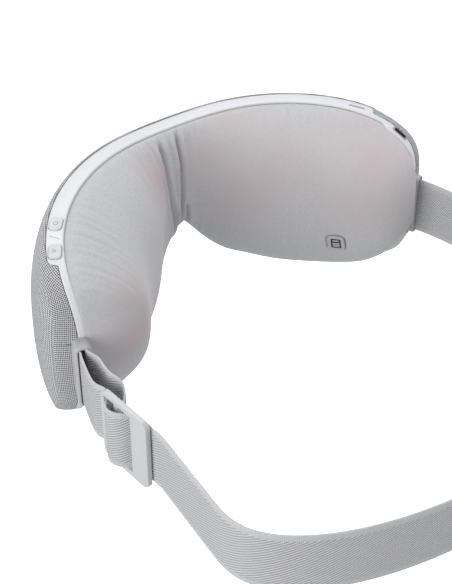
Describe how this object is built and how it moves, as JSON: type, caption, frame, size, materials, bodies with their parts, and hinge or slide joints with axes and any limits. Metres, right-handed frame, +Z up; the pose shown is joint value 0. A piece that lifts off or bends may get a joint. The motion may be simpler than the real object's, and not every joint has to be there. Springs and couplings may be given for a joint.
{
  "type": "eye massager mask",
  "caption": "Padded eye massager mask in two halves with a folding nose bridge, knit front, push buttons and a buckled elastic head strap.",
  "frame": {"origin": "on the seam between the frame and the pad, above the nose and about half way up the mask", "axes": "+Z up, +Y from the mask towards the wearer's face, +X towards the wearer's left, where the buttons are"},
  "size_m": [0.2364, 0.2672, 0.0993],
  "materials": {
    "frame_plastic": "satin",
    "knit_mesh": "open knit",
    "pad_fabric": "soft brushed knit",
    "strap_webbing": "ribbed elastic webbing",
    "slider_plastic": "semi gloss",
    "shell_plastic": "moulded",
    "foam": "open foam",
    "soft_film": "thin film",
    "heater": "printed film",
    "steel": "plain",
    "circuit_board": "solder mask",
    "chip": "moulded",
    "battery_wrap": "shrink wrap",
    "hose": "silicone",
    "ribbon": "flexible film",
    "button_plastic": "satin",
    "sensor_glass": "polished",
    "sensor_rubber": "soft",
    "light_lens": "frosted"
  },
  "bodies": {
    "left_half": {"left_rim": "frame_plastic", "left_front_shell": "shell_plastic", "left_mesh_cover": "knit_mesh", "left_back_plate": "shell_plastic", "left_pad_cover": "pad_fabric", "left_foam_pad": "foam", "left_air_bladder": "soft_film", "left_heater_film": "heater", "left_strap_pin": "steel", "left_shell_screws": "steel", "left_hinge_leaf": "steel", "left_vibration_motor": "steel", "bridge_mesh": "knit_mesh", "bridge_rim": "frame_plastic", "bridge_pad": "pad_fabric", "hinge_pin": "steel", "tact_switches": "chip", "button_board": "circuit_board", "main_board": "circuit_board", "controller_chips": "chip", "air_pump": "shell_plastic", "air_valve": "shell_plastic", "air_manifold": "shell_plastic", "air_hose": "hose", "ribbon_cable": "ribbon", "strap_outer_leg": "strap_webbing", "strap_inner_leg": "strap_webbing", "strap_left_run": "strap_webbing", "strap_rear": "strap_webbing"},
    "right_half": {"right_rim": "frame_plastic", "right_front_shell": "shell_plastic", "right_mesh_cover": "knit_mesh", "right_back_plate": "shell_plastic", "right_pad_cover": "pad_fabric", "right_foam_pad": "foam", "right_air_bladder": "soft_film", "right_heater_film": "heater", "right_strap_pin": "steel", "right_shell_screws": "steel", "right_hinge_leaf": "steel", "right_vibration_motor": "steel", "battery_pack": "battery_wrap", "usb_port": "steel", "charge_board": "circuit_board", "status_light": "light_lens", "sensor_bezel": "sensor_rubber", "sensor_window": "sensor_glass", "sensor_board": "circuit_board", "strap_right_run": "strap_webbing"},
    "power_key": {"power_button": "button_plastic"},
    "mode_key": {"mode_button": "button_plastic"},
    "buckle": {"strap_slider": "slider_plastic", "strap_wrap": "strap_webbing"},
    "left_shaker": {"left_motor_weight": "steel"},
    "right_shaker": {"right_motor_weight": "steel"},
    "pump_crank": {"pump_rotor": "steel"},
    "plunger": {"valve_plunger": "steel"}
  },
  "joints": [
    {"name": "bridge_fold", "type": "hinge", "parent": "left_half", "child": "right_half", "pos_m": [0, -0.012, 0.02], "axis": [0, 0, -1], "range_deg": [-6, 30], "deforming": ["bridge_mesh", "bridge_rim", "bridge_pad", "air_hose", "ribbon_cable", "strap_rear"]},
    {"name": "power_press", "type": "slide", "parent": "left_half", "child": "power_key", "axis": [-0.1099, -0.1214, -0.9865], "range_m": [0, 0.0007], "stiffness_N_per_m": 900, "springref_m": -0.0004},
    {"name": "mode_press", "type": "slide", "parent": "left_half", "child": "mode_key", "axis": [-0.1759, -0.2581, -0.95], "range_m": [0, 0.0007], "stiffness_N_per_m": 900, "springref_m": -0.0004},
    {"name": "strap_adjust", "type": "slide", "parent": "left_half", "child": "buckle", "axis": [0, 1, 0], "range_m": [-0.014, 0.026], "deforming": ["strap_outer_leg", "strap_inner_leg", "strap_left_run"]},
    {"name": "left_shaker_spin", "type": "hinge", "parent": "left_half", "child": "left_shaker", "pos_m": [0.09921, 0.03449, -0.026], "axis": [0, 0, 1], "continuous": true},
    {"name": "right_shaker_spin", "type": "hinge", "parent": "right_half", "child": "right_shaker", "pos_m": [-0.09921, 0.03449, -0.026], "axis": [0, 0, 1], "continuous": true},
    {"name": "pump_spin", "type": "hinge", "parent": "left_half", "child": "pump_crank", "pos_m": [0.04262, -0.00826, -0.022], "axis": [0, 0, 1], "continuous": true},
    {"name": "valve_lift", "type": "slide", "parent": "left_half", "child": "plunger", "axis": [0, 0, 1], "range_m": [0, 0.0012], "stiffness_N_per_m": 300, "springref_m": -0.001}
  ]
}
